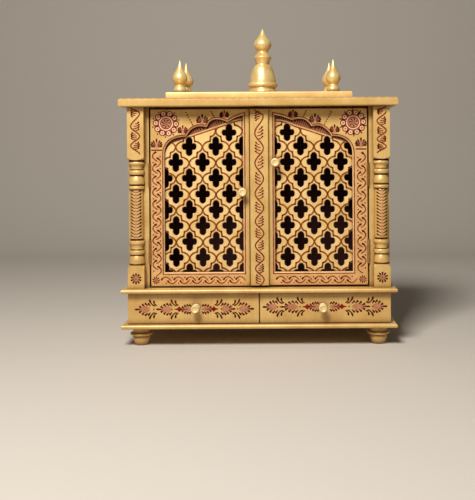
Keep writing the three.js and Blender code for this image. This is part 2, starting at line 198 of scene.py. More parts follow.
def turning(profile, around, place, tilt=None):
    """Points and faces of a closed turning about +Z, or about the axis that a matrix turns it to."""
    points = []
    for radius, height in profile:
        for i in range(around):
            angle = math.tau * i / around
            points.append(Vector((radius * math.cos(angle), radius * math.sin(angle), height)))
    faces = ring_walls(0, around, len(profile))
    faces.append(tuple(reversed(range(around))))
    faces.append(tuple(range((len(profile) - 1) * around, len(profile) * around)))
    if tilt:
        points = [tilt @ p for p in points]
    return [p + Vector(place) for p in points], faces


foot_profile = profile_of(
    (10.8, 0),
    [(11.5, 0.7)],
    [(13.6, 6.5), (14.2, 11), (13.4, 15.2)],
    [(17.4, 16.2), (19, 18.2), (17.8, 20.2), (14.8, 21.0)],
    [(14.2, 23), (14.6, 26), (15, 29.9)],
)
for row, y in (("front", -68.5), ("rear", 74.5)):
    for side, x in (("left", -197), ("right", 197)):
        name = f"foot_{row}_{side}"
        piece("turned_" + name, name, *turning(foot_profile, 40, (x, y, 0)), [gold_paint])

# Lower slab and middle slab
# Two thin boards of wood with rounded front and side edges and a plain back, painted gold like the rest.
# The lower one stands on the feet and carries the drawers, and the middle one is the floor of the shrine.

slab_front, slab_back, shrine_floor = -98.5, 104.5, 94.5


def slab(half_width, profile, front=slab_front, back=slab_back, inset_back=False):
    """Points and faces of a board whose edges follow a profile of [inset, z], bottom to top."""
    points = []
    for inset, z in profile:
        x, rear = half_width - inset, back - inset if inset_back else back
        points += [(-x, front + inset, z), (x, front + inset, z), (x, rear, z), (-x, rear, z)]
    top = 4 * len(profile) - 4
    return points, ring_walls(0, 4, len(profile)) + [(3, 2, 1, 0), (top, top + 1, top + 2, top + 3)]


def bullnose(bottom, top):
    """A rounded edge from the underside to the top of a board, a little flatter than a half circle."""
    radius = (top - bottom) / 2
    steps = 12
    edge = []
    for step in range(steps + 1):
        angle = math.pi * step / steps - math.pi / 2
        edge.append((radius * 0.8 * (1 - math.cos(angle)), bottom + radius * (1 + math.sin(angle))))
    return edge


piece("lower_board", "lower_slab", *slab(225.5, bullnose(30, 36.5)), [gold_paint])
piece("middle_board", "mid_slab", *slab(226, bullnose(88, shrine_floor)), [gold_paint])

# Drawer case
# Two ends, a divider and a thin back of plain board stand between the slabs, glued and pinned.
# They are painted gold, and their edges are eased by sanding.


def finish_board(name, finish, ease_mm):
    """Gives a board of the frame its finish and eased edges."""
    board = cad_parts[name]
    board.data.materials.clear()
    board.data.materials.append(finish)
    if ease_mm:
        eased = board.modifiers.new("eased edges", "BEVEL")
        eased.width = ease_mm * 0.001
        eased.segments = 2
        eased.limit_method = "ANGLE"


for name in ["drawer_case_end_left", "drawer_case_end_right", "drawer_divider", "drawer_case_back"]:
    finish_board(name, gold_paint, 0.4)

# Drawers
# Each drawer is an open box of thin boards, glued and pinned behind a wide painted front with a turned knob.
# The front carries feathery palmettes and leaf strokes in maroon over rose, with a crimson lozenge a side.
# The paints of all the brush ornament are mixed here, because the later pieces take theirs from them.


def mottled(name, first, second, patch_mm=7, detail=3.0, span=(0.4, 0.7), **surface):
    """A finish that drifts between two colours in small patches."""
    finish, tree, shader = new_finish(name, **surface)
    place = shade(tree, "TexCoord").outputs["Object"]
    tones = two_tones(tree, place, patch_mm, detail, first, second, span)
    tree.links.new(tones, shader.inputs["Base Color"])
    return finish


# Thin poster paint is full where the brush load pools and browner where it ran dry.
# It dries matt, so these dark strokes hold no highlight against the gold.
brush_surface = {"Roughness": 0.6, "Specular_IOR_Level": 0.1}
ornament_paint = mottled("maroon_brush_strokes", "#3C0A02", "#621E0A", **brush_surface)
umber_paint = mottled("umber_brush_lines", "#6E340E", "#96581F", **brush_surface)
stem_paint = mottled("russet_brush_stems", "#6A2A12", "#8A4422", **brush_surface)
# Thin washes let the gold show through, so they keep a little of its sheen and its brush lines.
rose_wash = brushed_paint(
    "rose_wash_over_gold", "#BE8058", "#AA6C48", "#9E6040", 7, 0.1, Metallic=0.15, Roughness=0.55
)
warm_tint = brushed_paint(
    "warm_tint_over_gold", "#DDA86C", "#CF985E", "#C28A52", 14, 0.12, Metallic=0.2, Roughness=0.5
)
brown_wash = brushed_paint(
    "brown_wash_over_gold", "#94582E", "#7C441E", "#6E3A18", 9, 0.1, Roughness=0.55
)
# Opaque body colours: a deep red with almost no gloss, and a chalky pale pink.
crimson_paint = brushed_paint(
    "crimson_paint", "#860C04", "#680802", "#780E06", 6, 0.05, Roughness=0.55, Specular_IOR_Level=0.15
)
blush_paint = brushed_paint(
    "pale_blush_paint", "#EDB088", "#E09C74", "#D08C66", 7, 0.05, Roughness=0.55
)
palette = [gold_paint, ornament_paint, rose_wash, crimson_paint]
palette += [umber_paint, blush_paint, warm_tint, brown_wash, stem_paint]
GOLD, MAROON, ROSE, CRIMSON, UMBER, BLUSH, TINT, BROWN, STEM = range(9)


def turned_about(x, z, angle):
    """A function that turns a point about the origin by an angle in degrees and moves it to x, z."""
    c, s = math.cos(math.radians(angle)), math.sin(math.radians(angle))
    return lambda u, v: (x + u * c - v * s, z + u * s + v * c)


def ellipse(x, z, half_width, half_height, count=20):
    turns = [math.tau * i / count for i in range(count)]
    return [(x + half_width * math.cos(turn), z + half_height * math.sin(turn)) for turn in turns]


def dot(x, z, radius, count=10):
    return ellipse(x, z, radius, radius, count)


def drop(x, z, angle, length, width):
    """A brush mark with its point at x, z, swelling to a round end at that length along the angle."""
    at = turned_about(x, z, angle)
    upper = [(0.28, 0.45), (0.55, 0.85), (0.78, 1.0), (0.93, 0.66)]
    marks = [(0, 0)] + [(length * t, -width / 2 * w) for t, w in upper] + [(length, 0)]
    return [at(u, v) for u, v in marks + [(length * t, width / 2 * w) for t, w in reversed(upper)]]


def left_of(start, end):
    """The unit vector to the left of the way from one point to another."""
    dx, dz = end[0] - start[0], end[1] - start[1]
    size = math.hypot(dx, dz) or 1
    return -dz / size, dx / size


def moved_aside(line, distances, closed=False):
    """A line's points, each moved to the left of the way there by its distance."""
    around = [line[-1], *line, line[0]] if closed else [line[0], *line, line[-1]]
    out = []
    for before, (x, z), after, distance in zip(around, line, around[2:], distances):
        across_x, across_z = left_of(before, after)
        out.append((x + distance * across_x, z + distance * across_z))
    return out


def ribbon(line, widths):
    """The outline of a brush mark along a line, with its width at each point."""
    right = moved_aside(line, [-width / 2 for width in widths])
    return right + moved_aside(line, [width / 2 for width in widths])[::-1]


def stroke(line, width, tip=0.25):
    """A brush stroke along a line, full in the middle and thinner at both ends."""
    last = len(line) - 1
    fullness = [math.sin(math.pi * i / last) ** 0.6 for i in range(last + 1)]
    return ribbon(line, [width * (tip + (1 - tip) * full) for full in fullness])


def drop_curve(start, end, bow, width):
    """A bowed drop from a thin start to a round, full end; it bows to its left by that much."""
    length = math.hypot(end[0] - start[0], end[1] - start[1])
    at = turned_about(*start, math.degrees(math.atan2(end[1] - start[1], end[0] - start[0])))
    line = [at(length * t, bow * 4 * t * (1 - t)) for t in [i / 9 for i in range(10)]]
    return ribbon(line, [width * w for w in (0.36, 0.4, 0.44, 0.5, 0.58, 0.7, 0.88, 1.0, 0.94, 0.45)])


def turned_between(start, end, bow):
    """The middle of two points, moved aside by that much to the left of the way from one to the other."""
    across_x, across_z = left_of(start, end)
    return ((start[0] + end[0]) / 2 + bow * across_x, (start[1] + end[1]) / 2 + bow * across_z)


# The drops on one side of a palmette, each from its tail to its head, as shares of its reach and half width.
# A fan's drops spread from its foot. A feather's all lean forward, as the barbs of a feather do.
fan_drops = []
for turn in (34, 60, 86, 112):
    u, v = 0.42 + 0.46 * math.cos(math.radians(turn)), 1.04 * math.sin(math.radians(turn))
    fan_drops.append(((0.3 * u + 0.06, 0.26 * v), (u, v)))
feather_drops = [((0.55, 0.2), (0.71, 0.52)), ((0.37, 0.46), (0.53, 0.88)), ((0.18, 0.56), (0.35, 1.04))]
feather_drops += [((-0.01, 0.5), (0.16, 1.0))]


def palmette(x, z, angle, reach, half, drops, width, tip=MAROON):
    """Pairs of drops beside a rose wash, with the base at x, z and the tallest drop along the angle."""
    at = turned_about(x, z, angle)
    marks = [(ROSE, [at(u, v) for u, v in ellipse(reach * 0.38, 0, reach * 0.38, half * 0.58)])]
    for tail, head in drops:
        for side in (1, -1):
            thin = at(reach * tail[0], side * half * tail[1])
            full = at(reach * head[0], side * half * head[1])
            marks.append((MAROON, drop_curve(thin, full, side * 0.4, width)))
    outline = [(0.56, 0.03), (0.7, 0.1), (0.84, 0.19), (0.93, 0.15), (1.0, 0.0)]
    if tip == CRIMSON:
        outline = [(0.56, 0), (0.73, 0.24), (0.89, 0.68), (1.02, 0.24), (1.14, 0.15), (1.3, 0.0)]
    outline += [(u, -v) for u, v in reversed(outline) if v]
    marks.append((tip, [at(reach * u, half * v) for u, v in outline]))
    if tip == CRIMSON:
        eye = ellipse(reach * 0.44, 0, reach * 0.2, half * 0.12, 12)
        marks.append((CRIMSON, [at(u, v) for u, v in eye]))
    return marks


def signed_area(loop):
    """Twice the area inside a loop, positive where the loop runs anticlockwise."""
    return sum(a[0] * b[1] - b[0] * a[1] for a, b in zip(loop, loop[1:] + loop[:1]))


def painted(outline, holes, marks, grid=()):
    """Cuts a flat outline along its painted marks. Returns points, triangles and the paint of each triangle.

    A later mark covers an earlier one. The grid's points are only there to bend the face at.
    """
    points, loops, paints = [], [], []

    def add(loop, paint):
        if signed_area(loop) < 0:
            loop = loop[::-1]
        loops.append(list(range(len(points), len(points) + len(loop))))
        points.extend(Vector(p) for p in loop)
        paints.append(paint)

    add(list(outline), GOLD)
    for paint, mark in marks:
        add(list(mark), paint)
    for hole in holes:
        add(list(hole), None)
    points.extend(Vector(p) for p in grid)
    found, _, triangles, _, _, owners = delaunay_2d_cdt(points, [], loops, 1, 1e-4)
    kept, kept_paints = [], []
    for triangle, inside in zip(triangles, owners):
        if 0 in inside and paints[max(inside)] is not None:
            kept.append(tuple(triangle))
            kept_paints.append(paints[max(inside)])
    return [(p.x, p.y) for p in found], kept, kept_paints


def corners(x0, x1, z0, z1):
    return [(x0, z0), (x1, z0), (x1, z1), (x0, z1)]


def add_walls(points, faces, rings, outward=True):
    """Adds rings of [loop, depth] to a mesh's points, and the quads between them to its faces."""
    start, count = len(points), len(rings[0][0])
    for loop, y in rings:
        points.extend((x, y, z) for x, z in loop)
    faces.extend(ring_walls(start, count, len(rings), outward))


def front_panel(x0, x1, front, back, z0, z1, marks, ease=0.6):
    """A board with a painted front face, a small eased edge round it, plain sides and back."""
    face = corners(x0 + ease, x1 - ease, z0 + ease, z1 - ease)
    edge = corners(x0, x1, z0, z1)
    flat, faces, paints = painted(face, [], marks)
    points = [(x, front, z) for x, z in flat]
    add_walls(points, faces, [(face, front), (edge, front + ease), (edge, back)], False)
    end = len(points)
    faces.append((end - 1, end - 2, end - 3, end - 4))
    return points, faces, paints + [GOLD] * (len(faces) - len(paints))


def drawer_marks(knob, axis, inner, outer):
    """A drawer front's ornament: on each side of the knob three palmettes point away from it.

    inner and outer hold how far from the knob their tips are, towards the cabinet's middle and away from it.
    """
    marks = []
    towards_middle = -1 if knob > 0 else 1
    for way, tips in ((towards_middle, inner), (-towards_middle, outer)):
        angle = 0 if way > 0 else 180
        reaches = [22, min(tips[1] - tips[0] - 3, 30.5), min(tips[2] - tips[1] - 3, 26)]
        for tip, reach, half in zip(tips, reaches, (7.2, 9.2, 9.8)):
            paint, tip_share = (CRIMSON, 1.3) if tip == tips[0] else (MAROON, 1)
            base = knob + way * (tip - reach * tip_share)
            marks += palmette(base, axis, angle, reach, half, feather_drops, 4.1, paint)
        # Two leaf strokes a side stand beside each tip and reach up to the next palmette.
        for tip, after, reach in zip(tips, tips[1:], reaches[1:]):
            place = after - reach - 7.6
            for side in (1, -1):
                for tail, head in (((-0.6, 5.2), (8.8, 16.4)), ((-3.6, 6.2), (1.4, 14.8))):
                    thin = (knob + way * (place + tail[0]), axis + side * tail[1])
                    full = (knob + way * (place + head[0]), axis + side * head[1])
                    marks.append((STEM, drop_curve(full, thin, way * side * 2.2, 2.6)))
                    marks.append((MAROON, drop_curve(thin, full, -way * side * 2.2, 3.4)))
            marks.append((MAROON, dot(knob + way * (tip + 3), axis, 1.3, 8)))
    return marks


# The same gold, with a deeper brown painted shade reaching further under the slab that stands out over the
# drawers.
drawer_paint = brushed_paint("satin_gold_paint_on_drawer", *gold_coat, nook_mm=26, full_at=0.56, **gold_sheen)
knob_profile = profile_of(
    (6.1, 0),
    [(6.6, 0.5), (6.5, 1.3), (5.6, 2.2)],
    [(4.4, 3.6), (4.0, 6.4), (4.5, 9.2), (6.1, 11.6)],
    [(7.0, 12.8), (6.9, 14.8), (6.2, 16.4), (5.0, 17.0), (3.9, 16.4)],
    [(3.2, 16.0), (1.8, 15.7), (0.05, 15.6)],
    steps=4,
)
# The knobs have a paler gold with less flake in it, which looks like cream from a step away.
knob_paint = brushed_paint(
    "cream_gold_paint_on_knobs", "#EFD79E", "#E2C284", "#CFA464", 9, 0.1, Metallic=0.15, Roughness=0.5
)
to_front = Matrix.Rotation(math.radians(90), 4, "X")
drawer_knob_x, drawer_knob_z, drawer_front = 104, 63.5, -87.5
for side, sign, axis, inner, outer in (
    ("left", -1, 61.0, (38.1, 65.1, 96.2), (36.9, 66.3, 101.4)),
    ("right", 1, 63.8, (34.6, 71.0, 99.7), (40.5, 78.6, 106.7)),
):
    body, knob_x = "drawer_" + side, sign * drawer_knob_x
    marks = drawer_marks(knob_x, axis, inner, outer)
    lo, hi = (corner * 1000 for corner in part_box("drawer_front_" + side))
    points, faces, paints = front_panel(lo.x, hi.x, lo.y, hi.y, lo.z, hi.z, marks)
    name, node, finishes = "drawer_face_" + side, "drawer_front_" + side, [drawer_paint] + palette[1:]
    piece(name, node, points, faces, finishes, body, paints=paints, smooth=False)
    for part in ("bottom", "side_inner", "side_outer", "back"):
        finish_board(f"drawer_{part}_{side}", gold_paint, 0.4)
    knob = turning(knob_profile, 40, (knob_x, drawer_front, drawer_knob_z), to_front)
    piece("drawer_pull_" + side, "drawer_knob_" + side, *knob, [knob_paint], body, "bright_gold_turning")

# Shrine case
# Two side panels, a thin back panel and two front stiles stand on the middle slab, glued and pinned.
# They are painted gold, except the back panel, whose dark stain is also painted shade.

# Water stain soaks into the wood and dries quite matt. Its dark maroon is also painted shade, so the inside
# stays dark behind the jali.
dark_stain_and_shade = brushed_paint(
    "dark_maroon_stain_and_shade", "#4A1612", "#380E0C", "#54201A", 30, 0.1, 2.0, Roughness=0.75
)
for name in ("side_panel_left", "side_panel_right", "stile_left", "stile_right"):
    finish_board(name, gold_paint, 0.5)
finish_board("back_panel", dark_stain_and_shade, 0.3)

# Pilasters
# A turned wood column with square blocks at its ends, split down its length, glued to the stile and painted.
# The upper block has a wavy vine, the shaft a herringbone of leaves and the lower block a daisy.

case_front = -74.5
pilaster_top = 394
block_half, block_depth = 13.5, 13
block_reach = block_half + block_depth
pilaster_profile = profile_of(
    (20, shrine_floor),
    [(20, 124)],
    [(19.2, 127.6), (16.6, 130.6), (13.2, 132.4), (11.4, 133.2)],
    [(11.2, 134.6)],
    [(13.1, 135.6), (13.4, 137.4), (12.9, 142), (11.4, 147), (10.4, 149.1)],
    [(12.4, 150.6), (13.4, 154), (12.6, 157), (10.8, 158.2)],
    [(10.1, 161), (10.3, 164.4), (12.0, 167.6)],
    [(13.3, 168.6), (13.4, 171), (13.0, 173), (11.0, 174)],
    [(11.5, 190), (11.5, 214), (11.1, 238), (10.5, 257.8)],
    [(12.9, 258.8), (13.3, 260.8), (12.7, 262.6), (10.5, 264.6)],
    [(12.9, 266.8), (13.4, 268.6), (12.6, 274), (10.2, 280.6)],
    [(12.4, 282.4), (13.4, 285.8), (12.5, 288.8), (10.6, 290.2)],
    [(10.1, 293), (10.5, 296.2), (12.4, 298.6)],
    [(13.3, 299.6), (13.4, 301.2), (12.6, 303.2), (11.2, 304.6)],
    [(11.4, 305.6)],
    [(13.4, 306.4), (17, 308.6), (19.2, 311.4), (20, 315)],
    [(20, pilaster_top)],
    steps=4,
)


def pilaster_radius(z):
    for (r0, z0), (r1, z1) in zip(pilaster_profile, pilaster_profile[1:]):
        if z0 <= z <= z1:
            return r0 + (r1 - r0) * (z - z0) / max(z1 - z0, 1e-6)
    return 20


def pilaster_point(s, z):
    """A point of the split turning. s runs round it, and on a block's front is measured from its middle."""
    reach = abs(s)
    if reach <= block_half:
        angle = math.atan2(block_depth, reach)
    else:
        angle = math.atan2(max(block_reach - reach, 0), block_half)
    limit = min(block_half / max(math.cos(angle), 1e-6), block_depth / max(math.sin(angle), 1e-6))
    radius = min(pilaster_radius(z), limit)
    return (math.copysign(radius * math.cos(angle), s) if s else 0.0, -radius * math.sin(angle))


def across(x, radius):
    """The s of a point that stands x from the middle of a round part of that radius."""
    slant = math.tan(math.acos(max(min(x / radius, 1), -1)))
    flat = block_depth / slant if abs(slant) > 1e-6 else 0
    return flat if abs(flat) <= block_half else math.copysign(block_reach - block_half * abs(slant), x)


def vine(turns, swing, width):
    """A wavy stem through turns of [height, side], with a comb of four bowed drops in each hollow.

    The drops leave the stem below the turn and rise to the open side. In the first hollow they hang.
    """
    marks, line = [], []
    steps = 10
    for (z, way), (after, _) in zip(turns, turns[1:]):
        for i in range(steps):
            t = i / steps
            line.append((way * swing * math.cos(math.pi * t), z + (after - z) * t))
    line.append((turns[-1][1] * swing, turns[-1][0]))
    for i in range(1, len(turns) - 1):
        z, way = turns[i]
        rise = (turns[i - 1][0] - turns[i + 1][0]) / 2
        up = -1 if i == 1 else 1
        heads, tails = [], []
        for j, (head_share, tail_share) in enumerate(((0.8, 0.1), (0.98, 0.36), (0.96, 0.42), (0.9, 0.14))):
            height = z + up * rise * (0.43 - 0.2 * j)
            heads.append((-way * swing * head_share, height))
            tails.append((way * swing * tail_share, height - up * rise * 0.2))
        marks.append((TINT, [tails[0], *heads, tails[3], tails[2]]))
        for tail, head in zip(tails, heads):
            arc = curve_through([tail, turned_between(tail, head, way * up * 1.3), head], 4)
            marks.append((STEM, ribbon(arc, [0.44 * width, 0.5 * width] + [0.55 * width] * (len(arc) - 2))))
            marks.append((MAROON, drop_curve(arc[-5], head, way * up * 0.2, width)))
    for start in range(0, len(line) - 1, steps):
        marks.append((STEM, stroke(line[start : start + steps + 2], 2.5, 0.85)))
    return marks


def petal(x, z, angle, start, length, width):
    """A drop that points away from a flower's middle at x, z and begins at a distance from it."""
    return drop(*turned_about(x, z, angle)(start, 0), angle, length, width)


def daisy(x, z, radius, petals, centre=1.2):
    marks = [(ROSE, dot(x, z, radius * 0.62, 20))]
    start = radius * 0.3
    for i in range(petals):
        angle = 360 * i / petals + 18
        marks.append((MAROON, petal(x, z, angle, start, radius - start, radius * 0.36)))
    return marks + [(CRIMSON, dot(x, z, centre))]


def band(z, width):
    """A painted line round a pilaster."""
    return corners(0.1 - block_reach, block_reach - 0.1, z - width / 2, z + width / 2)


def pilaster(x0, turns):
    """Points, faces and paints of a pilaster, whose painted face is cut flat and then bent round."""
    steps = {shrine_floor + 5 * i for i in range(60)} | {pilaster_top}
    heights = sorted({round(z, 2) for _, z in pilaster_profile} | steps)
    around = [-block_reach + 2 * block_reach * i / 36 for i in range(37)] + [-block_half, block_half]
    grid = [(s, z) for s in around[1:36] + around[37:] for z in heights[1:-1]]
    outline = [(s, shrine_floor) for s in sorted(around)]
    outline += [(block_reach, z) for z in heights[1:-1]]
    outline += [(s, pilaster_top) for s in sorted(around, reverse=True)]
    outline += [(-block_reach, z) for z in reversed(heights[1:-1])]
    marks = vine(turns, 7.4, 3.3)
    marks.append((TINT, corners(-3.2, 3.2, 177, 256)))
    for i in range(15):
        z = 178.5 + 5.3 * i
        radius = pilaster_radius(z)
        for way in (-1, 1):
            foot, tip = [(across(way * x, radius), z + rise) for x, rise in ((1.0, 0), (8.6, 4.0))]
            marks.append((MAROON, drop_curve(foot, tip, way * 0.5, 3.3)))
        marks.append((ROSE, drop(0, z - 1.2, 90, 4.8, 2.8)))
    # Painted shade: a dark band in the groove under the upper block, and brown bands in the other grooves of
    # the turning.
    marks.append((MAROON, band(304.8, 2.6)))
    groove_shade_bands = [(290.4, 1.5), (281.0, 1.9), (265.0, 1.9), (257.6, 1.3)]
    groove_shade_bands += [(174.2, 1.3), (158.4, 1.7), (149.4, 1.9), (133.8, 1.7)]
    marks += [(UMBER, band(z, width)) for z, width in groove_shade_bands]
    marks += daisy(0, 111.4, 9.4, 10)
    flat, faces, paints = painted(outline, [], marks, grid)
    points = []
    for s, z in flat:
        x, y = pilaster_point(s, z)
        points.append((x0 + x, case_front + y, z))
    # The flat ends of the blocks.
    end = corners(-block_half, block_half, case_front - block_depth, case_front)
    for z, up in ((shrine_floor, False), (pilaster_top, True)):
        ring = range(len(points), len(points) + 4)
        points += [(x0 + x, y, z) for x, y in end]
        faces.append(tuple(ring if up else reversed(ring)))
        paints.append(GOLD)
    return points, faces, paints


left_turns = [(393, -1), (383.5, 1), (361.4, -1), (345.6, 1), (329.9, -1), (315.5, 1)]
right_turns = [(393, 1), (384, 1), (368.5, -1), (352.2, 1), (338.6, -1), (326.4, 1), (315.5, -1)]
for side, x0, turns in (("left", -202.5, left_turns), ("right", 202.5, right_turns)):
    points, faces, paints = pilaster(x0, turns)
    name, node = "split_pilaster_" + side, "pilaster_" + side
    piece(name, node, points, faces, palette, paints=paints, sharp=32)

# Jali boards of the doors
# Each door's back layer is a thin fretsawn board with rows of four-lobed holes, their front edges eased.
# It is painted a paler gold in front, stained dark behind and in its holes as painted shade, and glued to the
# back of the frame board.
# A brown line follows each cell between the holes, and dark leaf marks fill the foils of the arch.

hole_half = [(0, 16.1), (2.2, 15.3), (4.2, 13.4), (5.4, 10.7), (5.5, 7.3), (5.4, 5.4), (5.8, 5.1), (8.9, 5.1)]
hole_half += [(10.8, 4.1), (12.0, 1.6), (12.0, -1.5), (10.8, -4.5), (8.7, -5.6), (5.8, -5.7), (5.4, -6.2)]
hole_half += [(5.4, -8.8), (5.2, -11.8), (4.0, -13.9), (2.0, -15.4), (0, -16.1)]
hole_outline = hole_half + [(-x, z) for x, z in reversed(hole_half[1:-1])]
first_column = {"left": 27.45, "right": 24.85}
last_column = {"left": 156.2, "right": 154}
column_pitch, row_pitch = 22.25, 52.8
low_row, high_row = 117.2, 143.5
# One line of the cells, from where two cells of a row touch, over two cusps, to the next row's such point.
cell_line = curve_through([(0, 0), (0.8, -3.2), (3.4, -7.6), (8.4, -10)], 3)
cell_line += curve_through([(8.4, -10), (8.9, -13.4), (9.6, -17.6)], 2)[1:]
cell_line += curve_through([(9.6, -17.6), (13.8, -18.6), (17.6, -20.8), (20.4, -23.6), (21.8, -26.4)], 3)[1:]


def moved_out(loop, distance):
    """A closed loop moved outwards from its inside by a distance, along the mean normal at each point."""
    way = -1 if signed_area(loop) > 0 else 1
    return moved_aside(loop, [way * distance] * len(loop), True)


def hole_centres(side):
    """One door's holes: distance from the cabinet's middle, height, and share of the full height."""
    centres = []
    for step in range(7):
        even = step % 2 == 1
        short = (even and step > 1) or (step == 6 and side == "left")
        for row in range(4 if short else 5):
            column = last_column[side] if step == 6 else first_column[side] + column_pitch * step
            top = step == 1 and row == 4
            height = (high_row if even else low_row) + row_pitch * row - (3.4 if top else 0)
            centres.append((column, height, 0.92 if top else 1))
    return centres


def clipped(loop, axis, limit, way):
    """A loop cut back to what lies above a limit on an axis, or below it where way is -1."""
    kept = []
    for point, after in zip(loop, loop[1:] + loop[:1]):
        here, there = (way * (p[axis] - limit) >= 0 for p in (point, after))
        if here:
            kept.append(point)
        if here != there:
            t = (limit - point[axis]) / (after[axis] - point[axis])
            kept.append(tuple(p + t * (q - p) for p, q in zip(point, after)))
    return kept


def in_view(loop):
    """A jali mark cut back to what the frame in front of it leaves in view, with a margin."""
    for axis, limit, way in ((0, 23.5, 1), (0, 159.5, -1), (1, 117, 1)):
        loop = clipped(loop, axis, limit, way)
    return loop


# The arch over each opening, as distance from the cabinet's middle and height, run by run between its tips.
opening_inner, opening_foot, opening_top = 26, 119.5, 380.5
outer_edge = {"left": 157, "right": 155.3}
arch_runs = {
    "left": [
        [
            (157, opening_foot), (157, 218), (157, 300), (157, 317), (155.4, 326),
            (151.2, 333.6), (143.4, 340), (133, 343.6), (120.8, 345),
        ],
        [(120.8, 345), (116.4, 352), (109.6, 358.4), (99, 362), (86.2, 360.6)],
        [(86.2, 360.6), (82, 368.4), (74.6, 373.2), (64, 373.2), (51.6, 368.8)],
        [(51.6, 368.8), (45, 372.8), (36.4, 377), (opening_inner, opening_top)],
    ],
    "right": [
        [
            (155.3, opening_foot), (155.3, 218), (155.3, 300), (155.3, 317), (153.8, 326),
            (149.2, 334.4), (140.8, 341), (131.2, 344), (121, 344.6),
        ],
        [(121, 344.6), (117.4, 350), (111.4, 356.4), (101, 362), (87.6, 361)],
        [(87.6, 361), (83.2, 367), (75.4, 372.4), (65, 374), (55.4, 371.6)],
        [(55.4, 371.6), (46, 375.2), (36, 378.4), (opening_inner, opening_top)],
    ],
}
# The painted foils' lower edge: a nearly straight band that meets the arch at its tips, and a foil below.
foil_chord = {
    "left": [
        (121, 343.6), (100, 350.6), (82.6, 356.4), (66.6, 361.6),
        (52.4, 366.4), (41, 370.6), (30, 373), (24, 373),
    ],
    "right": [
        (121.5, 342.4), (105, 347.6), (88.2, 353.4), (75.8, 357.4),
        (61, 362), (52, 366), (38, 370.6), (24, 371.6),
    ],
}
foil_floor = [(156, 320), (151, 329), (144, 334.6), (133, 337.8), (124, 341.4), (121, 343.6)]


def height_on(line, x):
    """The height of a line of points, from high x to low, at x."""
    for (x0, z0), (x1, z1) in zip(line, line[1:]):
        if x1 <= x <= x0:
            return z0 + (z1 - z0) * (x0 - x) / (x0 - x1)
    return line[0][1] if x > line[0][0] else line[-1][1]


def placed_marks(marks, place):
    return [(paint, [place(u, v) for u, v in mark]) for paint, mark in marks if len(mark) > 2]


# A paler gold with the same soft sheen, so the jali stands out light against the dark inside.
jali_paint = brushed_paint(
    "pale_gold_paint_on_jali", "#F3CD88", "#E2B76C", "#D2A25A", 30, 0.15, Metallic=0.3, Roughness=0.45
)
# Painted highlight: fine pale pinkish lines on the eased edges round each hole and on the bevel of each arch.
edge_highlight_paint = brushed_paint(
    "pale_gold_edge_highlight", "#E4BC88", "#D8A874", "#CA965E", 12, 0.1, Metallic=0.1, Roughness=0.55
)
palette += [dark_stain_and_shade, edge_highlight_paint]
STAIN_AND_SHADE, EDGE_HIGHLIGHT = 9, 10
# The two sides and the foot of each door's boards, which all end at one height.
door_edges = {"left": (-180, -15.6, 96.5), "right": (-14.6, 180, 97.3)}
door_top = 390.5
jali_front, jali_back = -68.5, -62.5
for side, sign in (("left", -1), ("right", 1)):
    x0, x1, z0 = door_edges[side]
    holes = []
    for column, middle, tall in hole_centres(side):
        loop = in_view([(column + x, middle + z * tall) for x, z in hole_outline])
        holes.append([(sign * x, z) for x, z in loop])
    marks = []
    for step in range(-1, 8):
        for row in range(6):
            column = first_column[side] + column_pitch * step
            top = (high_row if step % 2 == 0 else low_row) + row_pitch * row
            for way in (-1, 1):
                line = [(column + way * x, top + z) for x, z in cell_line]
                if top < 385:
                    marks.append((UMBER, in_view(stroke(line, 3.0, 0.9))))
                    marks += [(MAROON, in_view(dot(*line[i], 1.7, 8))) for i in (0, 9, 13)]
    chord = curve_through(foil_chord[side], 4)
    for run, floor in zip(arch_runs[side], (foil_floor, chord, chord, chord)):
        arch = [p for p in curve_through(run, 6) if p[1] >= 322]
        lower = [(x, min(height_on(floor, x), z - 0.5)) for x, z in arch]
        marks.append((BROWN, [(x, z + 1.5) for x, z in arch] + lower[::-1]))
        for i in range(1, len(arch) - 2, 2):
            (x, z), depth = arch[i], arch[i][1] - lower[i][1]
            if depth > 2.4:
                marks.append((MAROON, drop(x - 1.2, z - depth * 0.82, 66, depth * 0.8 + 1.4, 2.6)))
    marks.append((TINT, stroke([(x, z + 0.6) for x, z in chord], 2.6, 0.8)))
    marks.append((UMBER, stroke([(x, z - 1.6) for x, z in chord], 2.2, 0.8)))
    marks.append((UMBER, stroke([(28.4, 121 + 36 * i) for i in range(8)], 1.4, 0.9)))
    marks = placed_marks(marks, lambda u, v: (sign * u, v))
    face = corners(x0, x1, z0, door_top)
    rims = [moved_out(hole, 1.0) for hole in holes]
    flat, faces, paints = painted(face, rims, marks)
    points = [(x, jali_front, z) for x, z in flat]
    # Each hole's eased rim takes the pale painted highlight, and its wall the dark stain that is also painted
    # shade.
    for hole, rim in zip(holes, rims):
        rings = [(rim, jali_front), (hole, jali_front + 1.2), (hole, jali_back)]
        add_walls(points, faces, rings, signed_area(hole) > 0)
        paints += [EDGE_HIGHLIGHT] * len(hole) + [STAIN_AND_SHADE] * len(hole)
    # The board's back takes the same dark stain, which is also painted shade.
    rear, rear_faces, _ = painted(face, holes, [])
    start = len(points)
    points += [(x, jali_back, z) for x, z in rear]
    faces += [tuple(start + i for i in reversed(triangle)) for triangle in rear_faces]
    paints += [STAIN_AND_SHADE] * len(rear_faces)
    add_walls(points, faces, [(face, jali_front), (face, jali_back)], False)
    paints += [GOLD] * 4
    name, node, finishes = "jali_board_" + side, "door_jali_" + side, [jali_paint] + palette[1:]
    piece(name, node, points, faces, finishes, "door_" + side, paints=paints, smooth=False)

# Frame boards of the doors
# The front layer is a wooden board, cut in one with a cusped arch and bevelled all round its opening.
# It carries the vines of the outer strip and bottom rail, and the rosettes, fans and dots of the spandrel.


def crossing(a, b, c, d):
    """Where the line through a and b meets the line through c and d."""
    r, s = (b[0] - a[0], b[1] - a[1]), (d[0] - c[0], d[1] - c[1])
    t = ((c[0] - a[0]) * s[1] - (c[1] - a[1]) * s[0]) / (r[0] * s[1] - r[1] * s[0])
    return (a[0] + t * r[0], a[1] + t * r[1])


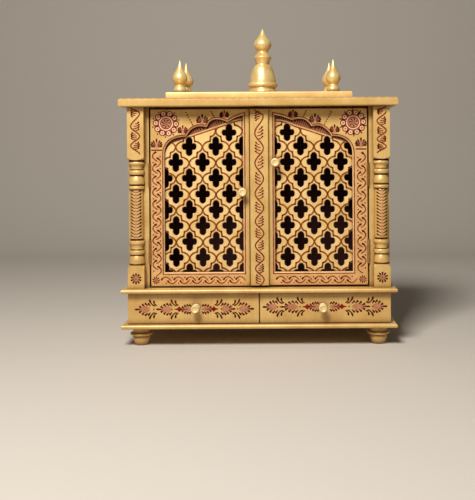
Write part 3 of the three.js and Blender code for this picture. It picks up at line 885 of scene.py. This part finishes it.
def opening(side, distance):
    """The arched opening's outline set back by a distance, with the same number of points at any distance."""
    runs = []
    inner_foot = (opening_inner, opening_foot)
    closing = [[(opening_inner, opening_top), inner_foot], [inner_foot, (outer_edge[side], opening_foot)]]
    for given in arch_runs[side] + closing:
        line = curve_through(given, 5) if len(given) > 2 else given
        runs.append(moved_aside(line, [-distance] * len(line)))
    loop = []
    for i, run in enumerate(runs):
        before = runs[i - 1]
        loop.append(crossing(before[-2], before[-1], run[0], run[1]))
        loop.extend(run[1:-1])
    return loop


def rosette(x, z, radiate):
    """A round flower: a swirl in a pale ring, ten eyed petals about it and dots or rays outside."""
    marks = [(ROSE, dot(x, z, 20.8, 44)), (MAROON, dot(x, z, 13.0, 40)), (BLUSH, dot(x, z, 11.9, 40))]
    marks += [(MAROON, dot(x, z, 9.6, 32)), (ROSE, dot(x, z, 8.2, 32))]
    for i in range(7):
        at = turned_about(x, z, 360 * i / 7)
        end = at(7.0 * math.cos(0.5), 7.0 * math.sin(0.5))
        marks.append((MAROON, drop_curve(at(1.0, 0), end, -1.2, 2.3)))
    for i in range(10):
        middle = turned_about(x, z, 36 * i + 3)(16.8, 0)
        for paint, radius, count in ((MAROON, 5.1, 16), (BLUSH, 3.6, 14), (MAROON, 1.2, 8)):
            marks.append((paint, dot(*middle, radius, count)))
    for i in range(10):
        angle = 36 * i + 21
        if radiate:
            marks.append((MAROON, petal(x, z, angle, 13, 11.0, 2.2)))
        else:
            marks.append((MAROON, petal(x, z, angle, 13, 6.0, 2.0)))
            marks.append((MAROON, dot(*turned_about(x, z, angle)(22.4, 0), 1.3, 8)))
    return marks


def linked_strokes(length, period, swing, width):
    """A row of bowed strokes along u, bulging to +v and -v by turns.

    Each leaves a wet head beside the last one's tail, and a dot where two bulges of one side part.
    """
    marks = []
    shape = [(-0.37, 0.0), (-0.31, 0.42), (-0.18, 0.82), (-0.02, 1.0), (0.15, 0.84), (0.3, 0.34)]
    shape += [(0.42, -0.26)]
    body_widths = [width * w for w in [1.1] * 5 + [1.0] * 8 + [0.9] * 4 + [0.75, 0.5]]
    head_widths = [width * w for w in (0.8, 1.4, 1.55, 1.5, 1.25, 0.9, 0.5)]
    for i in range(int(2 * length / period)):
        way, bulge = (1, -1)[i % 2], (0.35 + i / 2) * period
        line = curve_through([(bulge + period * u, way * swing * v) for u, v in shape], 3)
        marks.append((UMBER, ribbon(line, body_widths)))
        marks.append((MAROON, ribbon(line[:7], head_widths)))
        marks.append((MAROON, dot(bulge + 0.02 * period, -way * swing * 0.86, width * 0.56, 8)))
    return marks


bevel, ease = 1.8, 0.7
for side, sign in (("left", -1), ("right", 1)):
    x0, x1, z0 = door_edges[side]
    marks = [(TINT, opening(side, 5.2)), (UMBER, opening(side, 3.7))]
    marks.append((TINT, corners(160.6, 179, 119, 321.5)))
    marks.append((TINT, corners(25, 179, 98, 114.6)))
    if side == "left":
        marks += placed_marks(linked_strokes(202, 19.99, 6.7, 2.3), lambda u, v: (169.7 + v, 319.3 - u))
        marks += placed_marks(linked_strokes(134, 20.6, 5.4, 2.1), lambda u, v: (162.5 - u, 106.6 + v))
    else:
        marks += placed_marks(linked_strokes(202, 21.56, 6.7, 2.3), lambda u, v: (169.9 + v, 316.4 - u))
        marks += placed_marks(linked_strokes(134, 21.4, 5.4, 2.1), lambda u, v: (28 + u, 106.6 + v))
    marks += daisy(171.6, 106.6, 6.6, 9, 0.9)
    marks.append((MAROON, stroke([(160.5 + i, 322.6) for i in range(19)], 2.3, 0.9)))
    centre = (153.8, 366.7) if side == "left" else (156.8, 366.9)
    marks += rosette(*centre, side == "right")
    for x, z, reach in ((169.6, 325.2, 17), (126, 349, 15), (93.6, 365, 17.6), (57, 375, 14)):
        marks += palmette(x, z, 90, reach, reach * 0.56, fan_drops, 2.9)
    marks += [(UMBER, dot(120.5 - 2.2 * i, 384.5 - 4 * i, 1.6, 8)) for i in range(6)]
    marks += [(UMBER, dot(79 - 1.25 * i, 387 - 2.5 * i, 1.3, 8)) for i in range(5)]
    marks = placed_marks(marks, lambda u, v: (sign * u, v))
    loop = [(sign * x, z) for x, z in opening(side, bevel)]
    foot = [(sign * x, z) for x, z in opening(side, 0)]
    if sign < 0:
        loop, foot = loop[::-1], foot[::-1]
    face = corners(x0 + ease, x1 - ease, z0 + ease, door_top - ease)
    edge = corners(x0, x1, z0, door_top)
    flat, faces, paints = painted(face, [loop], marks)
    points = [(x, case_front, z) for x, z in flat]
    # The bevel round the opening is painted pale as a painted highlight, and the cut wall behind it dark
    # brown as painted shade.
    add_walls(points, faces, [(loop, case_front), (foot, case_front + bevel), (foot, jali_front)])
    paints += [EDGE_HIGHLIGHT] * len(loop) + [UMBER] * len(loop)
    add_walls(points, faces, [(face, case_front), (edge, case_front + ease), (edge, jali_front)], False)
    paints += [GOLD] * 8
    name, node = "arched_frame_" + side, "door_frame_" + side
    piece(name, node, points, faces, palette, "door_" + side, paints=paints, smooth=False)

# Astragal and door knobs
# A flat wooden strip glued on the right door's meeting stile carries a long vine.
# Each door has a wooden knob turned like the drawers' ones, whose shank runs through the frame board.

heights = [389, 378.2, 349.7, 325, 300.4, 274.3, 249.9, 226.2, 203.6, 183.9, 163.8, 143.4, 125.8, 107.6, 86]
turns = [(z, 1 if i % 2 else -1) for i, z in enumerate(heights)]
marks = placed_marks(vine(turns, 7.0, 3.3), lambda u, v: (u + 0.65, v))
points, faces, paints = front_panel(-14.6, 15.9, case_front - 5, case_front, 97.3, door_top, marks, 0.9)
piece("meeting_strip", "door_astragal", points, faces, palette, "door_right", paints=paints, smooth=False)
door_knob_profile = [(3.9, -5.9), (3.9, 0)] + knob_profile
for side, x, z in (("left", -26.8, 252.4), ("right", 27.1, 301.3)):
    name, node, body = "door_pull_" + side, "door_knob_" + side, "door_" + side
    knob = turning(door_knob_profile, 40, (x, case_front, z), to_front)
    piece(name, node, *knob, [knob_paint], body, "bright_gold_turning")

# Hinges
# Two small butt hinges of brass to each door, let into the gap between the door's edge and the stile.
# The fixed leaf holds the end knuckles and the pin, and the door leaf the middle knuckle.

# Old brass that hands have rubbed is bright metal with soft duller patches.
hinge_brass = mottled("satin_brass", "#A87A34", "#E0B668", 5, 4.0, (0, 1), Metallic=1.0, Roughness=0.34)
for side in ("left", "right"):
    for level in ("lower", "upper"):
        for leaf in ("door_leaf", "fixed_leaf"):
            finish_board(f"hinge_{level}_{side}_{leaf}", hinge_brass, 0)

# Top slab and riser
# The wooden top board has a bevelled upper edge with a fine line of painted dashes along the front.
# A narrow board glued on it carries the finials, and both are painted gold.

top_edge = [(1.6, 394), (0.7, 394.5), (0.2, 395.3), (0, 396.4)]
top_edge += [(0, 404.4), (0.5, 405.1), (3.0, 407.2), (3.8, 407.5)]
points, faces = slab(228.5, top_edge)
# The bevel's front is taken out and put back cut along its marks.
del faces[4 * top_edge.index((0.5, 405.1))]
bevel_run, bevel_rise = 2.5, 2.1
slope = math.hypot(bevel_run, bevel_rise)
marks = []
for i in range(33):
    start = -222 + 13.6 * i
    line = []
    for t in (0, 0.25, 0.5, 0.75, 1):
        line.append((start + 9 * t, slope * (0.5 + 0.14 * math.sin(math.tau * (t + i / 3)))))
    marks.append((ROSE, stroke(line, 1.7, 0.5)))
flat, bevel_faces, bevel_paints = painted([(-228, 0), (228, 0), (225.5, slope), (-225.5, slope)], [], marks)
paints = [GOLD] * len(faces) + bevel_paints
faces += [tuple(len(points) + i for i in triangle) for triangle in bevel_faces]
for x, t in flat:
    points.append((x, slab_front + 0.5 + bevel_run * t / slope, 405.1 + bevel_rise * t / slope))
piece("top_board", "top_slab", points, faces, palette, paints=paints)
riser_edge = [(0, 407.5), (0, 418.8), (0.4, 420), (1.6, 421)]
piece("riser_board", "riser", *slab(157.5, riser_edge, -50.5, 56.5, True), [gold_paint])

# Finials
# One large bell with an onion bud and four small onion buds, all turned from wood.
# They are painted a brighter gold than the case and glued to the riser.

# More flake in a glossier varnish catches the light along every ring, so the turnings look polished.
bright_gold_paint = brushed_paint(
    "bright_gold_paint_on_turned_wood", "#EED08C", "#DCB46C", "#C8984E", 16, 0.12, 3.2,
    Metallic=0.35, Roughness=0.36, Coat_Weight=0.4, Coat_Roughness=0.25,
)
centre_profile = profile_of(
    (24.0, 421),
    [(24.8, 421.8), (25, 424), (24.2, 426.6), (22.4, 428.6)],
    [(22, 430.6), (23.2, 432)],
    [(25.6, 433.6), (26.3, 436.4), (25.2, 439.2), (23.4, 440.4)],
    [(22.8, 445), (21.0, 453), (18.4, 462), (16, 467.4), (13.2, 470.4)],
    [(11.6, 471.6), (11, 473), (11.6, 474.4)],
    [(13.0, 478.4), (14.8, 482), (15.4, 484.2), (14.4, 486.4), (12.2, 489.4), (10.4, 491.4)],
    [(9.4, 493), (9.2, 495), (10.2, 496.6)],
    [
        (13.2, 500.4), (15.2, 504.6), (15.5, 508), (13.6, 513),
        (9.6, 518.4), (6.0, 523.6), (3.2, 529.4), (0.3, 535),
    ],
)
small_profile = profile_of(
    (9.8, 421),
    [(10.8, 422.2), (11.2, 425), (10.8, 428), (9.2, 431.2)],
    [(7.8, 433), (7.5, 434.4), (8.2, 435.8)],
    [
        (10.8, 439), (12.6, 443), (12.9, 447), (11.6, 452),
        (8.6, 457.4), (5.6, 462.8), (2.8, 470), (0.3, 478),
    ],
)
for name, profile, x, y in (
    ("finial_centre", centre_profile, 5, 1.5),
    ("finial_front_left", small_profile, -137, -23.5),
    ("finial_front_right", small_profile, 127, -23.5),
    ("finial_rear_left", small_profile, -132.5, 26.5),
    ("finial_rear_right", small_profile, 122.5, 26.5),
):
    bud = turning(profile, 64, (x, y, 0))
    piece("turned_" + name, name, *bud, [bright_gold_paint], slot="bright_gold_turning")

# Studio and camera
# A plain pale board curves up from floor to backdrop, with soft light from above and in front.
# The camera stands at the photograph's own point of view.

# Unpainted board with no gloss takes a soft shadow and throws a little warm light back.
stage_finish, _, _ = new_finish("plain_pale_studio_board", Base_Color=srgb("#C6BCAE"), Roughness=0.9)
sweep = bpy.data.meshes.new("studio_sweep")
sweep_line = [(-3.0, 0.0), (1.1, 0.0)]
for step in range(1, 13):
    angle = math.pi / 2 * step / 12
    sweep_line.append((1.1 + 0.5 * math.sin(angle), 0.5 - 0.5 * math.cos(angle)))
sweep_line.append((1.6, 3.0))
sweep_points = [(x, y, z) for y, z in sweep_line for x in (-4.0, 4.0)]
sweep_faces = [(2 * i, 2 * i + 1, 2 * i + 3, 2 * i + 2) for i in range(len(sweep_line) - 1)]
sweep.from_pydata(sweep_points, [], sweep_faces)
sweep.materials.append(stage_finish)
sweep.polygons.foreach_set("use_smooth", [True] * len(sweep.polygons))
studio = bpy.data.objects.new("studio_sweep", sweep)
scene.collection.objects.link(studio)


def area_light(name, place, target, width, height, watts):
    lamp = bpy.data.lights.new(name, "AREA")
    lamp.shape = "RECTANGLE"
    lamp.size, lamp.size_y, lamp.energy = width, height, watts
    made = bpy.data.objects.new(name, lamp)
    made.location = place
    made.rotation_euler = (Vector(target) - Vector(place)).to_track_quat("-Z", "Y").to_euler()
    scene.collection.objects.link(made)


area_light("soft_key", (-0.4, -1.35, 1.6), (0, 0, 0.25), 0.6, 0.6, 52)
area_light("soft_fill", (1.2, -1.9, 0.9), (0, 0, 0.25), 1.2, 1.0, 1.0)
world = bpy.data.worlds.new("studio_air")
world.use_nodes = True
air = world.node_tree.nodes["Background"].inputs
air["Color"].default_value = srgb("#E8E4DC")
air["Strength"].default_value = 0.06
scene.world = world
scene.view_settings.view_transform = "Standard"

lens = bpy.data.cameras.new("photograph_view")
lens.sensor_width = 36
lens.lens = 57.46
lens.shift_x, lens.shift_y = -0.1002, -0.186
camera = bpy.data.objects.new("photograph_view", lens)
camera.matrix_world = (
    Matrix.Translation((0.0477, -1.3985, 0.310))
    @ Matrix.Rotation(math.radians(90), 4, "X")
    @ Matrix.Rotation(math.radians(-0.35), 4, "Z")
)
scene.collection.objects.link(camera)
scene.camera = camera
